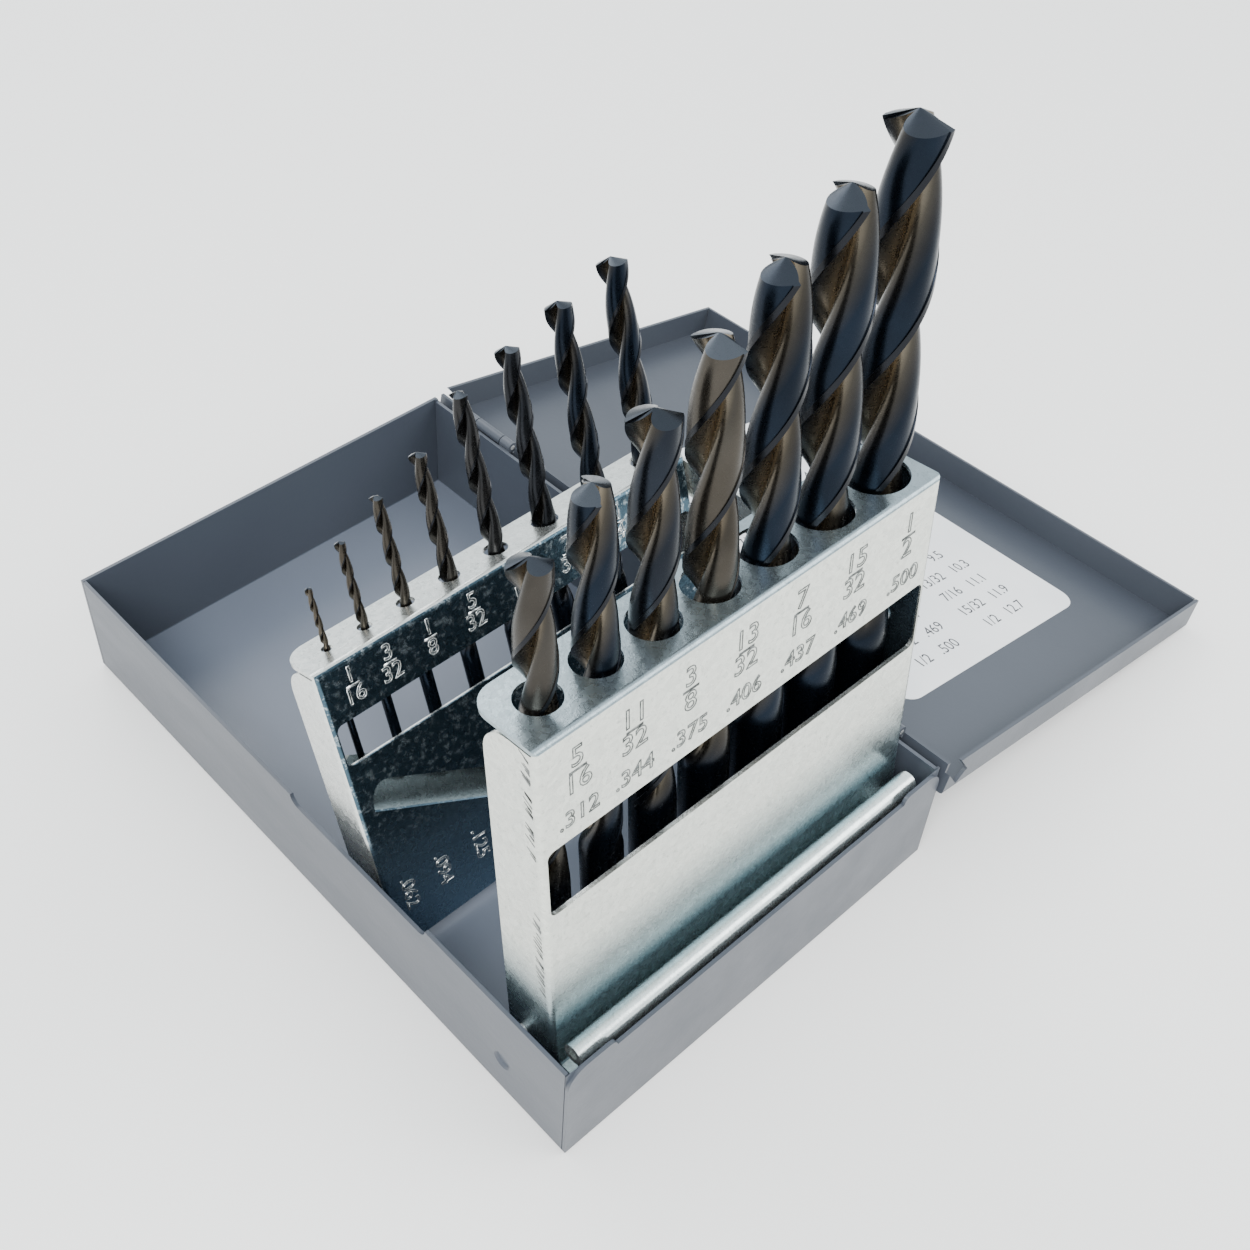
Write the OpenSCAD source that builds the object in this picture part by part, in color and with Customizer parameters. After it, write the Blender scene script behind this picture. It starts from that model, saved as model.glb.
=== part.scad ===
// Hinged steel drill index: a tray case, a flat-opening lid and two tilting racks of twist drills.
// Millimetres. X runs across the case, Y along it, Z up. The origin is the centre of the base underside.

/* [Case] */
// width of the tray, outside
case_w = 114; // [112:1:122]
// length of the tray, outside
case_l = 180; // [180:1:190]
// height of the tray walls
case_h = 31; // [30.5:0.5:34]
// thickness of the case sheet
case_t = 0.9; // [0.7:0.1:1]
// how far the front wall dips between its raised ends
front_dip = 2; // [1:0.5:3]
// length of each raised end of the front wall
ear_w = 13; // [9:1:16]
// radius of the front wall's top corners
ear_r = 5; // [3:0.5:6]
// start of the thumb notch along the left wall
notch_y = 46; // [40:1:60]
// length of the thumb notch
notch_l = 42; // [30:1:50]
// depth of the thumb notch
notch_d = 2.5; // [1:0.5:4]
// radius of the detent dimples
dimple_r = 2.4; // [1.5:0.1:3]
// distance from the front to the detent dimple
dimple_y = 19.5; // [14:0.5:26]
// height of the detent dimple
dimple_z = 11.5; // [8:0.5:16]

/* [Lid] */
// depth of the lid's tray from its hinge line to its outer face
lid_drop = 8.5; // [8:0.5:10]
// how far the lid's rims stand above the hinge line
lid_lap = 0.6; // [0.2:0.1:1.5]
// gap between the lid's rims and the tray walls when the lid is shut
lid_gap = 0.4; // [0.3:0.1:0.8]
// radius of the rolled hinge tubes
tube_r = 1.5; // [1.4:0.1:1.7]
// radius of the hinge pins
pin_r = 0.7; // [0.5:0.1:0.8]
// distance from a case end to the nearest hinge
hinge_y = 13; // [8:1:30]
// length of a hinge's middle tube, on the lid
lid_tube_l = 10; // [6:1:16]
// length of each outer tube, on the tray
case_tube_l = 4; // [3:0.5:6]

/* [Racks] */
// thickness of the rack sheet
rack_t = 0.9; // [0.7:0.1:1]
// gap from the left wall to the racks
rack_gap_l = 3.1; // [2.6:0.1:4]
// gap from the right wall to the racks, which holds the strap
rack_gap_r = 3.9; // [3.7:0.1:5]
// height of the racks' reference line above the table
rack_z = 2; // [1.8:0.1:2.6]

/* [Front rack] */
// place of the front rack's face along the case
front_y = 6.3; // [6:0.1:7]
// angle that the front rack leans back
front_lean = 5; // [3:0.5:6]
// height of the front rack
front_h = 108.3; // [104:0.5:109]
// depth of the front rack's top
front_d = 17.7; // [17:0.1:17.9]
// depth of the front rack's sides
front_side_d = 13.5; // [13:0.5:15]
// height of the front window's lower edge
front_win_u = 64.7; // [55:0.5:70]
// height of the front window
front_win_h = 17.3; // [10:0.5:19]
// height of the front rack's shelf at its left end
front_shelf_u = 23.6; // [23:0.1:26]
// rise of that shelf from end to end
front_shelf_rise = 5.8; // [3:0.1:7]

/* [Back rack] */
// place of the back rack's face along the case
back_y = 57.6; // [57:0.1:58]
// angle that the back rack leans back
back_lean = 18; // [15:0.5:20]
// height of the back rack
back_h = 75.8; // [72:0.5:77]
// depth of the back rack's top
back_d = 12.5; // [12:0.1:12.6]
// height of the back window's lower edge
back_win_u = 51.8; // [51:0.2:54]
// height of the back window
back_win_h = 10.4; // [7:0.2:11]
// height of the shelf fold at its left end, at its knee and at its right end
back_fold_u = 40.5; // [38:0.5:41]
back_knee_u = 19.4; // [19:0.2:22]
back_end_u = 7.2; // [7:0.1:9]
// distance along the rack from its left end to the shelf's knee
back_knee_x = 40; // [30:1:50]
// height of the opening that the shelf is bent out of
back_cut_h = 8.6; // [6:0.2:9]
// angle that the shelf rises towards the back
shelf_tilt = 39; // [30:1:42]

/* [Pivots and strap] */
// radius of the pivot studs
stud_r = 1.2; // [1:0.1:1.3]
// radius of the studs' heads
stud_head_r = 1.9; // [1.6:0.1:2]
// thickness of the connecting strap
strap_t = 0.8; // [0.6:0.1:1]
// width of the connecting strap
strap_w = 9; // [8:0.5:10]
// radius of the strap's rivets
strap_rivet_r = 1.3; // [1:0.1:1.5]
// clearance of the strap's loose hole round its rivet
strap_slack = 1.7; // [1.6:0.1:1.9]

/* [Drills] */
// one inch, the unit of the drill sizes
inch = 25.4; // [25.4:0.1:25.4]
// difference in diameter between a drill and its hole
hole_gap = 1; // [0.8:0.1:1.2]
// turns of flute per length: the lead in diameters
lead_share = 5.44; // [4.5:0.1:6.5]
// angle across the drill's point
point_angle = 135; // [118:1:140]
// web thickness as a share of the diameter
web_share = 0.3; // [0.2:0.02:0.4]

/* [Hidden] */
$fn = 48;
over = 0.5;
slip = 0.05;

// tray and lid, from the front left corner
seam = 0.4;
hinge_stand = 1.7;
hinge_x = case_w + hinge_stand;
hinge_z = case_h;
tube_gap = 0.3;
wall_drop = 0.6;
leaf_t = 0.9;
hinge_group_l = lid_tube_l + 2 * case_tube_l + 2 * tube_gap;
hinge_starts = [hinge_y, case_l - hinge_y - hinge_group_l];
lid_w = hinge_x + lid_gap + case_t;
lid_tilt = asin(hinge_z / norm([lid_w, lid_drop])) - atan(lid_drop / lid_w);
lid_start = 0.5;
lid_corner_r = 2.2;
lid_rim_h = lid_drop + lid_lap;
dimple_h = 0.6;
foot_r = 0.8;

// racks, each drawn upright with its face at y = 0 and then leaned back
rack_w = case_w - 2 * case_t - rack_gap_l - rack_gap_r;
rack_x = case_t + rack_gap_l;
bend_r = 1.3;
top_gap = 0.4;
top_corner_r = 5.5;
side_corner_r = 7;
front_side_u = 13;
front_side_r = 5.5;
front_plate_u = 17.8;
window_in = 1.4;
window_r = 1.6;
front_hole_b = 9.4;
front_first_x = 9.2;
front_last_x = 8.64;
front_growth_share = 0.02;
shelf_in = 2.6;
shelf_back = 0.7;

// rolled lip in front of the front rack, in the tray's own axes
roll_y = 4.5;
roll_z = 28;
roll_r = 2.4;
roll_in = 1.1;
lip_z = 19.2;
lip_end_y = 8.4;

back_side_u = 2.6;
back_side_d = 11.5;
back_heel_r = 6.4;
back_plate_u = 1.5;
back_hole_b = 6.6;
back_first_x = 7.9;
back_last_x = 5.88;
back_growth_share = 0.0644;
cut_in = 4;
cut_r = 5.5;
cut_angle = 15;

// pivots, in the tray's own axes
front_pivot = [17.4, 22.7];
back_pivot_in = 6;
back_pivot = [back_y + back_pivot_in, 10.8];
collar_r = 2.4;
collar_l = 1.3;
head_l = 1.2;

// strap ends, measured on each rack as distance back from its face and height
strap_front = [9, 68];
strap_back = [3.5, 70];
strap_off = 0.35;
strap_short = 0.3;
rivet_head_r = 2.1;
rivet_cap_r = 3.9;
rivet_head_l = 1;
head_sides = 24;
dome_shares = [[1, 0], [1, 0.35], [0.85, 0.72], [0.5, 0.95], [0, 1]];

// drills
n_back = 8;
n_front = 7;
knee_d = 3 / 16 * inch;
knee_len = 3.5 * inch;
knee_flute = 2.3125 * inch;
long_share = 8;
short_share = 13;
long_flute_share = 7;
short_flute_share = 11.5;
land_angle = 36;
relief_share = 0.93;
heel_share = 0.6;
slice_angle = 27;
body_share = 0.985;
point_sides = 12;
shank_sides = 36;
end_share = 0.05;
shelf_clear = 0.05;

function size_of(i) = (4 + 2 * i) / 64 * inch;
function drill_len(d) = knee_len + (d - knee_d) * (d < knee_d ? short_share : long_share);
function flute_len(d) = knee_flute + (d - knee_d) * (d < knee_d ? short_flute_share : long_flute_share);

// holes spread over the rack's width, each a little farther from the last
function spread(i, share) = i + share * i * i;
function back_x(i) = back_first_x
    + (rack_w - back_first_x - back_last_x) * spread(i, back_growth_share) / spread(n_back - 1, back_growth_share);
function front_x(i) = front_first_x
    + (rack_w - front_first_x - front_last_x) * spread(i, front_growth_share) / spread(n_front - 1, front_growth_share);
function front_shelf(x) = front_shelf_u + front_shelf_rise * x / rack_w;
function back_fold(x) = x < back_knee_x
    ? back_fold_u + (back_knee_u - back_fold_u) * x / back_knee_x
    : back_knee_u + (back_end_u - back_knee_u) * (x - back_knee_x) / (rack_w - back_knee_x);
function lean(p, y, a) = [
    y + p[0] * cos(a) + p[1] * sin(a),
    rack_z - p[0] * sin(a) + p[1] * cos(a)
];

steel_grey = [0.42, 0.44, 0.47];
zinc = [0.75, 0.77, 0.76];
bright = [0.82, 0.82, 0.8];
oxide = [0.16, 0.17, 0.2];

module at_corner() {
    translate([-case_w / 2, -case_l / 2, 0]) children();
}

module on_front() {
    at_corner() translate([rack_x, front_y, rack_z]) rotate([-front_lean, 0, 0]) children();
}

module on_back() {
    at_corner() translate([rack_x, back_y, rack_z]) rotate([-back_lean, 0, 0]) children();
}

module on_hinge(tilt) {
    at_corner() translate([hinge_x, 0, hinge_z]) rotate([0, tilt, 0]) children();
}

// rod along X between two places
module rod_x(x0, x1, y, z, r) {
    translate([x0, y, z]) rotate([0, 90, 0]) cylinder(h = x1 - x0, r = r);
}

// head of a rivet or stud along X, flat where it seats and domed outwards; way is 1 or -1
module dome_x(x, way, y, z, r, h) {
    translate([x, y, z]) rotate([0, way * 90, 0]) rotate_extrude($fn = head_sides)
        polygon(concat([[0, 0]], [for (p = dome_shares) [r * p[0], h * p[1]]]));
}

// tube along Y
module tube_y(y0, length) {
    translate([0, y0, 0]) rotate([-90, 0, 0]) difference() {
        cylinder(h = length, r = tube_r);
        translate([0, 0, -over]) cylinder(h = length + 2 * over, r = pin_r + slip);
    }
}

// cutter that rounds a corner at the origin, whose material lies towards +X +Y, along Z
module round_off(r, length) {
    translate([-over, -over, 0]) difference() {
        cube([r + over, r + over, length]);
        translate([r + over, r + over, -over]) cylinder(h = length + 2 * over, r = r);
    }
}

// cutter for the same corner of a sheet that stands in the XZ plane
module round_up(x, z, turn, r, y0, length) {
    translate([x, y0 + length, z]) rotate([90, 0, 0]) rotate([0, 0, turn]) round_off(r, length);
}

// TRAY

module wall_dimple(side) {
    at_x = side < 0 ? 0 : case_w;
    translate([at_x, dimple_y, dimple_z]) rotate([0, side < 0 ? 90 : -90, 0]) children();
}

module case_walls() {
    difference() {
        cube([case_w, case_l, case_h]);
        translate([case_t, case_t, case_t]) cube([case_w - 2 * case_t, case_l - 2 * case_t, case_h]);
        // dip and rounded ends of the front wall
        translate([ear_w, -over, case_h - front_dip]) cube([case_w - 2 * ear_w, case_t + 2 * over, front_dip + over]);
        round_up(0, case_h, -90, ear_r, -over, seam + case_t);
        round_up(case_w, case_h, 180, ear_r, -over, seam + case_t);
        round_up(ear_w, case_h, 180, front_dip, -over, case_t + 2 * over);
        round_up(case_w - ear_w, case_h, -90, front_dip, -over, case_t + 2 * over);
        // seams where the front and far walls meet the long ones
        for (x = [-over, case_w - case_t]) translate([x, case_t, case_t]) cube([case_t + over, seam / 2, case_h]);
        for (x = [-over, case_w - case_t]) translate([x, case_l - case_t - seam / 2, case_t])
            cube([case_t + over, seam / 2, case_h]);
        // thumb notch with rounded ends
        translate([-over, notch_y, case_h - notch_d]) cube([case_t + 2 * over, notch_l, notch_d + over]);
        for (y = [notch_y, notch_y + notch_l]) translate([-over, y, case_h]) rotate([0, 90, 0])
            cylinder(h = case_t + 2 * over, r = notch_d);
        // lower hinge wall, with room for the lid's tubes
        translate([case_w - case_t - over, case_t + seam, case_h - wall_drop])
            cube([case_t + 2 * over, case_l - 2 * case_t - 2 * seam, wall_drop + over]);
        for (side = [-1, 1]) wall_dimple(side) translate([0, 0, -over])
            cylinder(h = dimple_h + over, r1 = dimple_r + over, r2 = dimple_r - dimple_h);
        // rounded bends along the bottom
        translate([0, -over, 0]) rotate([-90, -90, 0]) round_off(foot_r, case_l + 2 * over);
        translate([case_w, -over, 0]) rotate([-90, 180, 0]) round_off(foot_r, case_l + 2 * over);
        translate([-over, 0, 0]) rotate([0, 90, 0]) rotate([0, 0, 90]) round_off(foot_r, case_w + 2 * over);
        translate([-over, case_l, 0]) rotate([0, 90, 0]) rotate([0, 0, 180]) round_off(foot_r, case_w + 2 * over);
    }
}

module dimple_bumps() {
    for (side = [-1, 1]) wall_dimple(side) difference() {
        cylinder(h = case_t + dimple_h, r1 = dimple_r + case_t, r2 = dimple_r);
        translate([0, 0, -over]) cylinder(h = dimple_h + over, r1 = dimple_r + over, r2 = dimple_r - dimple_h);
    }
}

module case_tubes() {
    for (y = hinge_starts) for (dy = [0, hinge_group_l - case_tube_l]) translate([0, y + dy, 0]) {
        translate([hinge_x, 0, hinge_z]) tube_y(0, case_tube_l);
        translate([case_w - case_t, 0, hinge_z - tube_r]) difference() {
            cube([hinge_stand + case_t, case_tube_l, leaf_t]);
            translate([hinge_stand + case_t, -over, tube_r]) rotate([-90, 0, 0])
                cylinder(h = case_tube_l + 2 * over, r = pin_r + slip);
        }
    }
}

module case_base() {
    color(steel_grey) at_corner() union() {
        case_walls();
        dimple_bumps();
        case_tubes();
    }
}

// LID, drawn level from its hinge line and then tilted down to the table

module lid_tray() {
    out_y = lid_gap + case_t;
    difference() {
        translate([lid_start, -out_y, -lid_drop]) cube([lid_w - lid_start, case_l + 2 * out_y, lid_rim_h]);
        translate([lid_start + case_t, -lid_gap, -lid_drop + case_t])
            cube([lid_w - lid_start - 2 * case_t, case_l + 2 * lid_gap, lid_rim_h]);
        // the hinge side stops at the hinge line
        translate([lid_start - over, -lid_gap, 0]) cube([case_t + 2 * over, case_l + 2 * lid_gap, lid_lap + over]);
        // room for the tubes and leaves on the tray
        for (y = hinge_starts) translate([lid_start - over, y - tube_gap, -tube_r - tube_gap])
            cube([case_t + 2 * over, hinge_group_l + 2 * tube_gap, tube_r + tube_gap + over]);
        // slanted ends of the rims beside the hinge
        for (y = [-out_y - over, case_l + lid_gap - over]) translate([lid_start, y, lid_lap]) rotate([0, 45, 0])
            translate([-lid_rim_h, 0, -lid_corner_r]) cube([2 * lid_rim_h, case_t + 2 * over, 2 * lid_corner_r]);
        // open seams at the far corners
        for (y = [-lid_gap, case_l + lid_gap - seam / 2]) translate([lid_w - case_t, y, -lid_drop + case_t])
            cube([case_t + over, seam / 2, lid_rim_h]);
        round_up(lid_w, -lid_drop, 90, foot_r, -out_y - over, case_l + 2 * out_y + 2 * over);
        for (side = [0, 1]) translate([0, side * (case_l + 2 * out_y) - out_y, -lid_drop]) rotate([0, 90, 0])
            rotate([0, 0, side == 0 ? 90 : 180]) round_off(foot_r, lid_w + over);
    }
}

module lid_tubes() {
    for (y = hinge_starts) {
        start = y + case_tube_l + tube_gap;
        tube_y(start, lid_tube_l);
        difference() {
            translate([lid_start, start, -lid_drop + case_t]) cube([case_t, lid_tube_l, lid_drop - case_t]);
            translate([0, start - over, 0]) rotate([-90, 0, 0]) cylinder(h = lid_tube_l + 2 * over, r = pin_r + slip);
        }
    }
}

module lid() {
    color(steel_grey) on_hinge(lid_tilt) union() {
        lid_tray();
        lid_tubes();
    }
}

module hinge_pins() {
    color(zinc) at_corner() for (y = hinge_starts) translate([hinge_x, y, hinge_z]) rotate([-90, 0, 0])
        cylinder(h = hinge_group_l, r = pin_r);
}

// RACKS

// sheet bent round three sides: face, two sides and the top, with its outer bends rounded
module rack_shell(h, d, side_d, face_u, side_u) {
    difference() {
        union() {
            translate([0, 0, face_u]) cube([rack_w, rack_t, h - face_u]);
            translate([0, 0, h - rack_t]) cube([rack_w, d, rack_t]);
            for (x = [0, rack_w - rack_t]) difference() {
                translate([x, 0, side_u]) cube([rack_t, side_d, h - rack_t - top_gap - side_u]);
                translate([x - over, side_d, h - rack_t - top_gap]) rotate([90, 0, 90])
                    rotate([0, 0, 180]) round_off(side_corner_r, rack_t + 2 * over);
            }
        }
        // bends: both upright ones and the one along the top
        translate([0, 0, side_u - over]) round_off(bend_r, h - side_u + 2 * over);
        translate([rack_w, 0, side_u - over]) rotate([0, 0, 90]) round_off(bend_r, h - side_u + 2 * over);
        translate([-over, 0, h]) rotate([90, 0, 90]) rotate([0, 0, -90]) round_off(bend_r, rack_w + 2 * over);
        // rounded back corners of the top
        translate([0, d, h - rack_t - over]) rotate([0, 0, -90]) round_off(top_corner_r, rack_t + 2 * over);
        translate([rack_w, d, h - rack_t - over]) rotate([0, 0, 180]) round_off(top_corner_r, rack_t + 2 * over);
    }
}

// opening with round corners through a face
module window(x0, x1, u, height, r) {
    translate([x0 + r, -over, u]) cube([x1 - x0 - 2 * r, rack_t + 2 * over, height]);
    translate([x0, -over, u + r]) cube([x1 - x0, rack_t + 2 * over, height - 2 * r]);
    for (x = [x0 + r, x1 - r]) for (z = [u + r, u + height - r]) translate([x, -over, z]) rotate([-90, 0, 0])
        cylinder(h = rack_t + 2 * over, r = r);
}

module pivot_hole(b, u) {
    rod_x(-over, rack_w + over, b, u, stud_r + slip);
}

// a pivot's place on a leaning rack, as distance back from its face and height
function on_rack(p, y, a) = [
    (p[0] - y) * cos(a) - (p[1] - rack_z) * sin(a),
    (p[0] - y) * sin(a) + (p[1] - rack_z) * cos(a)
];
front_hub = on_rack(front_pivot, front_y, front_lean);
back_hub = on_rack(back_pivot, back_y, back_lean);

// lower back corner of a side, rounded about its own radius
module heel(b, u, r) {
    translate([-over, b, u]) rotate([90, 0, 90]) rotate([0, 0, 90]) round_off(r, rack_w + 2 * over);
}

module front_shelf_plate() {
    x0 = shelf_in;
    x1 = rack_w - shelf_in;
    translate([0, front_d - shelf_back, 0]) rotate([90, 0, 0]) linear_extrude(front_d - shelf_back)
        polygon([
            [x0, front_shelf(x0) - rack_t], [x1, front_shelf(x1) - rack_t],
            [x1, front_shelf(x1)], [x0, front_shelf(x0)]
        ]);
}

module front_lip() {
    at_corner() translate([rack_x + bend_r, 0, 0]) {
        w = rack_w - 2 * bend_r;
        difference() {
            rod_x(0, w, roll_y, roll_z, roll_r);
            rod_x(-over, w + over, roll_y, roll_z, roll_in);
        }
        translate([0, roll_y - roll_r, lip_z]) difference() {
            cube([w, rack_t, roll_z - lip_z]);
            translate([-over, roll_r, roll_z - lip_z]) rotate([0, 90, 0]) cylinder(h = w + 2 * over, r = roll_in);
        }
        translate([0, roll_y - roll_r, lip_z]) cube([w, lip_end_y - roll_y + roll_r, rack_t]);
    }
}

module front_rack() {
    color(zinc) union() {
        on_front() difference() {
            union() {
                rack_shell(front_h, front_d, front_side_d, front_plate_u, front_side_u);
                front_shelf_plate();
            }
            window(window_in, rack_w - window_in, front_win_u, front_win_h, window_r);
            heel(front_side_d, front_side_u, front_side_r);
            pivot_hole(front_hub[0], front_hub[1]);
            translate([rack_w - rack_t - over, strap_front[0], strap_front[1]]) rotate([0, 90, 0])
                cylinder(h = rack_t + 2 * over, r = strap_rivet_r);
            for (i = [0 : n_front - 1]) translate([front_x(i), front_hole_b, front_h - rack_t - over])
                cylinder(h = rack_t + 2 * over, r = (size_of(i + n_back) + hole_gap) / 2);
        }
        front_lip();
    }
}

module back_shelf(x0, x1) {
    rise = tan(shelf_tilt);
    deep = back_d - shelf_back;
    multmatrix([[1, 0, 0, 0], [0, 1, 0, 0], [0, rise, 1, 0], [0, 0, 0, 1]])
        translate([0, deep, 0]) rotate([90, 0, 0]) linear_extrude(deep)
            polygon([
                [x0, back_fold(x0) - rack_t], [x1, back_fold(x1) - rack_t],
                [x1, back_fold(x1)], [x0, back_fold(x0)]
            ]);
}

module back_cut(x0, x1) {
    translate([0, rack_t + over, 0]) rotate([90, 0, 0]) linear_extrude(rack_t + 2 * over)
        polygon([
            [x1, back_fold(x1)], [x1, back_fold(x1) + back_cut_h],
            for (a = [90 : -cut_angle : 0]) let (x = x0 + cut_r * (1 - cos(a))) [x, back_fold(x) + back_cut_h * sin(a)]
        ]);
}

module back_rack() {
    color(zinc) on_back() difference() {
        union() {
            difference() {
                rack_shell(back_h, back_d, back_side_d, back_plate_u, back_side_u);
                window(window_in, rack_w - window_in, back_win_u, back_win_h, window_r);
                back_cut(cut_in, back_knee_x + over / 2);
                back_cut_right();
            }
            back_shelf(cut_in, back_knee_x);
            back_shelf(back_knee_x, rack_w - cut_in);
        }
        heel(back_side_d, back_side_u, back_heel_r);
        pivot_hole(back_hub[0], back_hub[1]);
        translate([rack_w - rack_t - over, strap_back[0], strap_back[1]]) rotate([0, 90, 0])
            cylinder(h = rack_t + 2 * over, r = strap_rivet_r);
        for (i = [0 : n_back - 1]) translate([back_x(i), back_hole_b, back_h - rack_t - over])
            cylinder(h = rack_t + 2 * over, r = (size_of(i) + hole_gap) / 2);
    }
}

module back_cut_right() {
    x0 = back_knee_x;
    x1 = rack_w - cut_in;
    translate([0, rack_t + over, 0]) rotate([90, 0, 0]) linear_extrude(rack_t + 2 * over)
        polygon([
            [x0, back_fold(x0)], [x1, back_fold(x1)],
            [x1, back_fold(x1) + back_cut_h], [x0, back_fold(x0) + back_cut_h]
        ]);
}

// PIVOT STUDS: a collar on the wall, a shank through the rack's side and a head inside the rack

module stud_pair(pivot) {
    left = case_t;
    right = case_w - case_t;
    in_left = rack_x + rack_t + slip;
    in_right = rack_x + rack_w - rack_t - slip;
    rod_x(left, left + collar_l, pivot[0], pivot[1], collar_r);
    rod_x(left, in_left + slip, pivot[0], pivot[1], stud_r);
    dome_x(in_left, 1, pivot[0], pivot[1], stud_head_r, head_l);
    rod_x(right - collar_l, right, pivot[0], pivot[1], collar_r);
    rod_x(in_right - slip, right, pivot[0], pivot[1], stud_r);
    dome_x(in_right, -1, pivot[0], pivot[1], stud_head_r, head_l);
}

module front_studs() {
    color(bright) at_corner() stud_pair(front_pivot);
}

module back_studs() {
    color(bright) at_corner() stud_pair(back_pivot);
}

// STRAP between the racks, outside their right sides

strap_a = lean(strap_front, front_y, front_lean);
strap_b = lean(strap_back, back_y, back_lean);
strap_l = norm(strap_b - strap_a) - strap_short;
strap_angle = atan2(strap_b[1] - strap_a[1], strap_b[0] - strap_a[0]);
strap_x = rack_x + rack_w + strap_off;

module strap() {
    color(zinc) at_corner() translate([strap_x, strap_a[0], strap_a[1]]) rotate([strap_angle, 0, 0]) difference() {
        union() {
            translate([0, 0, -strap_w / 2]) cube([strap_t, strap_l, strap_w]);
            for (y = [0, strap_l]) rod_x(0, strap_t, y, 0, strap_w / 2);
        }
        rod_x(-over, strap_t + over, 0, 0, strap_rivet_r + slip);
        rod_x(-over, strap_t + over, strap_l, 0, strap_rivet_r + strap_slack);
    }
}

module strap_rivet(p, cap_r) {
    inside = rack_x + rack_w - rack_t;
    outside = strap_x + strap_t + slip;
    dome_x(inside, -1, p[0], p[1], rivet_head_r, rivet_head_l);
    rod_x(inside - slip, outside + slip, p[0], p[1], strap_rivet_r);
    dome_x(outside, 1, p[0], p[1], cap_r, rivet_head_l);
}

module strap_front_rivet() {
    color(bright) at_corner() strap_rivet(strap_a, rivet_head_r);
}

module strap_back_rivet() {
    color(bright) at_corner() strap_rivet(strap_b, rivet_cap_r);
}

// DRILLS: a plain shank, a body with two helical flutes and a ground point

// half of the cross-section, back from one land's leading edge to the next, as shares of the radius
function flute_half(r) = [
    for (p = [
        [-land_angle, 1], [-land_angle / 2, relief_share], [land_angle / 2, relief_share],
        [land_angle, heel_share + web_share], [2 * land_angle, heel_share], [3 * land_angle, web_share],
        [4 * land_angle - land_angle / 3, heel_share]
    ]) [r * p[1] * cos(p[0]), -r * p[1] * sin(p[0])]
];

module drill(i) {
    d = size_of(i);
    length = drill_len(d);
    flutes = flute_len(d);
    turn = 360 * flutes / (lead_share * d);
    half = flute_half(body_share * d / 2);
    color(oxide) union() {
        rotate_extrude($fn = shank_sides) polygon([
            [0, 0], [d / 2 - end_share * d, 0], [d / 2, end_share * d],
            [d / 2, length - flutes + slip], [0, length - flutes + slip]
        ]);
        translate([0, 0, length - flutes]) intersection() {
            linear_extrude(flutes, twist = -turn, slices = ceil(turn / slice_angle), segments = 2 * len(half))
                polygon(concat(half, [for (p = half) -p]));
            cylinder(h = flutes, r1 = flutes * tan(point_angle / 2), r2 = 0, $fn = point_sides);
        }
    }
}

module back_drill(i) {
    x = back_x(i);
    r = size_of(i) / 2;
    slope = abs(back_fold(x - r) - back_fold(x + r)) / 2;
    on_back() translate([x, back_hole_b, back_fold(x) + slope + (back_hole_b + r) * tan(shelf_tilt) + shelf_clear])
        drill(i);
}

module front_drill(i) {
    x = front_x(i - n_back);
    r = size_of(i) / 2;
    on_front() translate([x, front_hole_b, front_shelf(x + r) + shelf_clear]) drill(i);
}

module drill_1_16() { back_drill(0); }
module drill_3_32() { back_drill(1); }
module drill_1_8() { back_drill(2); }
module drill_5_32() { back_drill(3); }
module drill_3_16() { back_drill(4); }
module drill_7_32() { back_drill(5); }
module drill_1_4() { back_drill(6); }
module drill_9_32() { back_drill(7); }
module drill_5_16() { front_drill(8); }
module drill_11_32() { front_drill(9); }
module drill_3_8() { front_drill(10); }
module drill_13_32() { front_drill(11); }
module drill_7_16() { front_drill(12); }
module drill_15_32() { front_drill(13); }
module drill_1_2() { front_drill(14); }

case_base();
lid();
hinge_pins();
front_rack();
back_rack();
front_studs();
back_studs();
strap();
strap_front_rivet();
strap_back_rivet();
drill_1_16();
drill_3_32();
drill_1_8();
drill_5_32();
drill_3_16();
drill_7_32();
drill_1_4();
drill_9_32();
drill_5_16();
drill_11_32();
drill_3_8();
drill_13_32();
drill_7_16();
drill_15_32();
drill_1_2();
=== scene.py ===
import math

import bpy
import numpy as np
from mathutils import Matrix, Vector


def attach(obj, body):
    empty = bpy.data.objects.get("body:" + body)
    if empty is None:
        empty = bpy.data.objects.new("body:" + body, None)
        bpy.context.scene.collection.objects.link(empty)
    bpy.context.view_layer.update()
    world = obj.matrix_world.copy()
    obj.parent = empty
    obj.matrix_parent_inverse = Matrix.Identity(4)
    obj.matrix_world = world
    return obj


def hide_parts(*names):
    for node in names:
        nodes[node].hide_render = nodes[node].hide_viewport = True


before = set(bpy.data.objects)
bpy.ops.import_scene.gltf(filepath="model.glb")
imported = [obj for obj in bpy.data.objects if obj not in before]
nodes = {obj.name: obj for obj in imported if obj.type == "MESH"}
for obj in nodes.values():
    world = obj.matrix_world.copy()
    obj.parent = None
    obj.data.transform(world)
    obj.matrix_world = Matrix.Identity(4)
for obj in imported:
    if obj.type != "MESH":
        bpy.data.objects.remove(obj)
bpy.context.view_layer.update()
mm = 0.001
print("frame loaded:", len(nodes), "nodes")

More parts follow.
